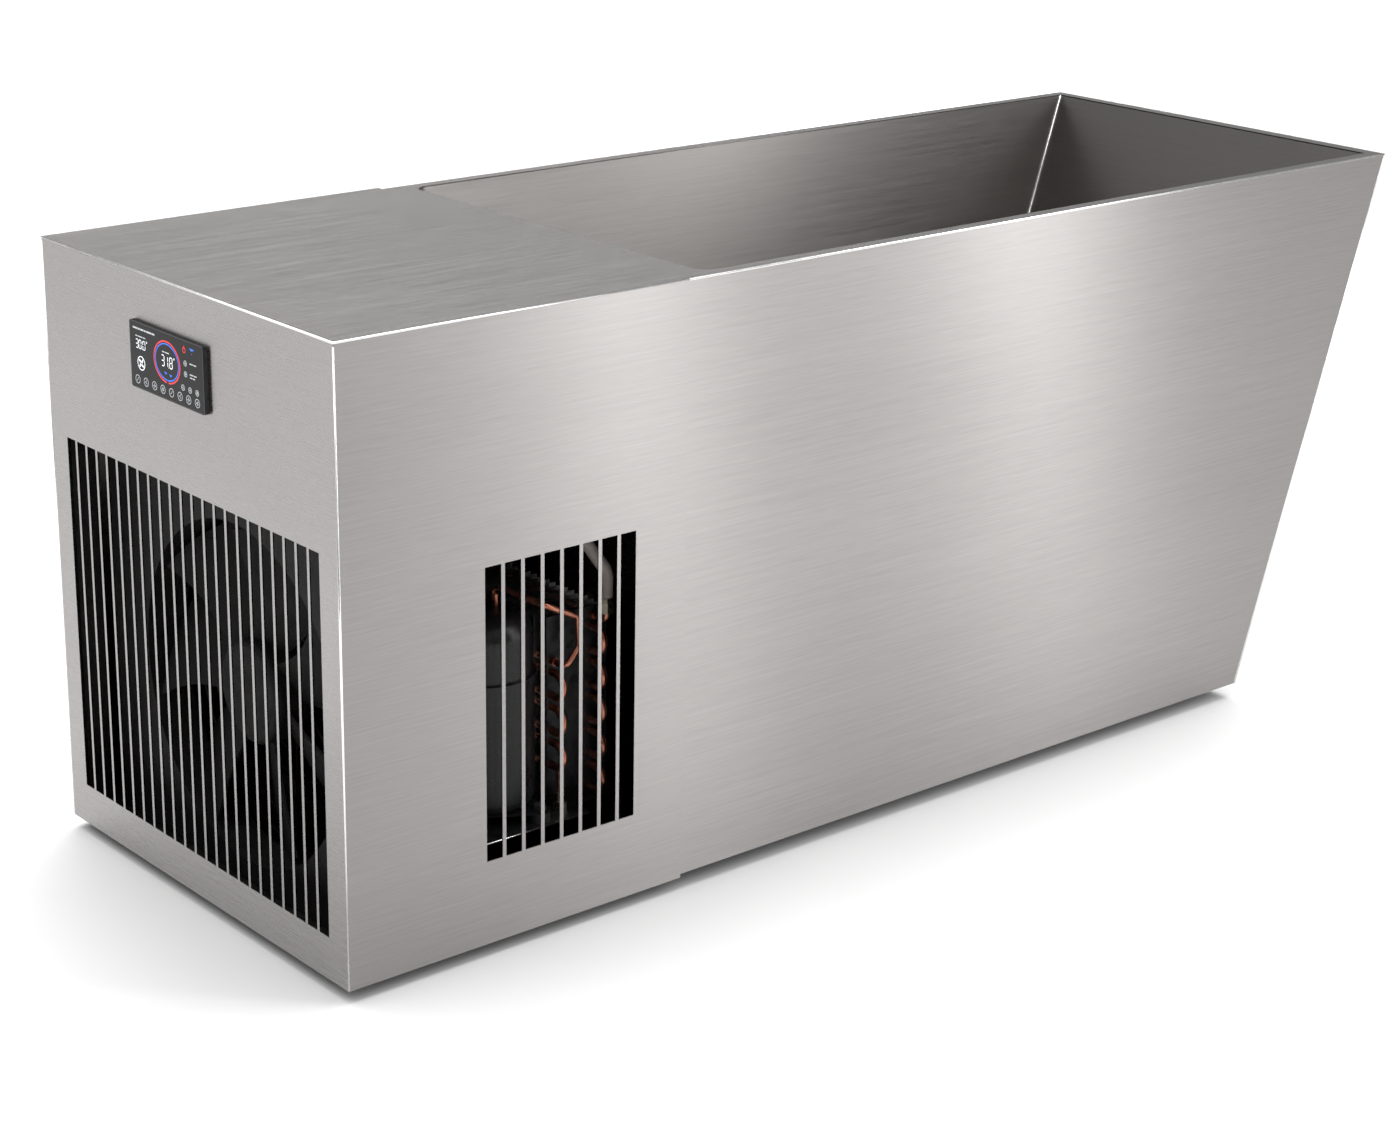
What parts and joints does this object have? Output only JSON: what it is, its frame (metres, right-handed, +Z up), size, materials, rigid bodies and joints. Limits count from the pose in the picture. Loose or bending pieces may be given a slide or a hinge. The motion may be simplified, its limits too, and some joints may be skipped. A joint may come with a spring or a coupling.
{
  "type": "chilled soaking tub",
  "caption": "Free-standing insulated steel soaking tub with one leaning end and a built-in cooling cabinet with grilles, touch display, fan, compressor, coil, pump and filter.",
  "frame": {"origin": "on the floor, under the middle of the whole box", "axes": "+X from the cabinet's front towards the leaning end, +Y across the tub away from the side grille, +Z up"},
  "size_m": [1.705, 0.6, 0.735],
  "materials": {
    "brushed_shell": "fine lengthways brushed grain, satin",
    "liner": "satin rolled stainless, softer grain",
    "galvanised": "galvanised or plain sheet, dull",
    "foam": "closed-cell foam",
    "pipe_foam": "foamed pipe lagging, matt",
    "rubber": "moulded black rubber",
    "black_plastic": "moulded, fine texture",
    "grey_plastic": "moulded, satin",
    "blue_plastic": "moulded, gloss",
    "red_plastic": "moulded, gloss",
    "fan_plastic": "moulded glass-filled plastic",
    "clear_plastic": "clear tinted moulding",
    "filter_paper": "pleated filter fleece",
    "display_glass": "black touch glass, gloss",
    "circuit_board": "solder-masked board",
    "grey_paint": "powder coat, satin",
    "black_paint": "enamel, semi-gloss",
    "fin_aluminium": "mill-finish foil",
    "copper": "drawn copper tube, lightly oxidised",
    "brass": "machined, plated",
    "bright_fitting": "turned and polished stainless"
  },
  "bodies": {
    "root": {"bottom_pan": "galvanised", "cabinet_frame": "galvanised", "coil_end_plates": "galvanised", "coil_fins": "fin_aluminium", "coil_tubes": "copper", "compressor_mounts": "rubber", "compressor_shell": "black_paint", "control_board": "circuit_board", "control_box": "galvanised", "control_box_lid": "galvanised", "discharge_pipe": "copper", "display_board": "circuit_board", "display_glass": "display_glass", "display_housing": "black_plastic", "drain_valve": "bright_fitting", "equipment_tray": "galvanised", "exchanger_barrel": "grey_plastic", "exchanger_coil": "copper", "fan_guard": "black_paint", "fan_motor": "black_paint", "fan_shroud": "grey_paint", "far_side_panel": "brushed_shell", "feet": "rubber", "filter_canister": "clear_plastic", "filter_cartridge": "filter_paper", "filter_drier": "copper", "fitting_nuts": "bright_fitting", "front_panel": "brushed_shell", "hose_clamps": "bright_fitting", "insulation": "foam", "liner_end_wall": "liner", "liner_floor": "liner", "liner_head_wall": "liner", "liner_side_walls": "liner", "liquid_pipe": "copper", "near_side_panel": "brushed_shell", "pipe_insulation": "pipe_foam", "pipe_valves": "brass", "power_module": "black_plastic", "pump_motor": "black_paint", "pump_volute": "black_plastic", "service_recess": "black_plastic", "suction_accumulator": "black_paint", "suction_pipe": "copper", "temperature_probe": "bright_fitting", "terminal_cover": "black_plastic", "tub_end_skin": "brushed_shell", "tub_head_skin": "brushed_shell", "tub_rim": "brushed_shell", "tub_side_skins": "brushed_shell", "tub_underside": "galvanised", "wall_fittings": "bright_fitting", "water_hoses": "rubber"},
    "fan": {"fan_blades": "fan_plastic"},
    "impeller": {"pump_impeller": "grey_plastic"},
    "cover": {"top_cover": "brushed_shell"},
    "cap": {"filter_cap": "blue_plastic"},
    "valve": {"drain_ball": "bright_fitting", "drain_lever": "bright_fitting"},
    "rocker": {"switch_rocker": "red_plastic"}
  },
  "joints": [
    {"name": "fan_spin", "type": "hinge", "parent": "root", "child": "fan", "pos_m": [-0.7875, 0, 0.25], "axis": [1, 0, 0], "continuous": true},
    {"name": "impeller_spin", "type": "hinge", "parent": "root", "child": "impeller", "pos_m": [-0.5825, 0.235, 0.178], "axis": [1, 0, 0], "continuous": true},
    {"name": "cover_lift", "type": "slide", "parent": "root", "child": "cover", "axis": [0, 0, 1], "range_m": [0, 0.3]},
    {"name": "filter_cap_turn", "type": "hinge", "parent": "root", "child": "cap", "pos_m": [-0.5825, 0.235, 0.54], "axis": [0, 0, 1], "range_deg": [0, 60]},
    {"name": "drain_valve_turn", "type": "hinge", "parent": "root", "child": "valve", "pos_m": [0.68849, 0, 0.07391], "axis": [-0.3062, 0, -0.952], "range_deg": [0, 90]},
    {"name": "switch_rock", "type": "hinge", "parent": "root", "child": "rocker", "pos_m": [-0.7405, 0.2625, 0.201], "axis": [1, 0, 0], "range_deg": [0, 16]}
  ]
}
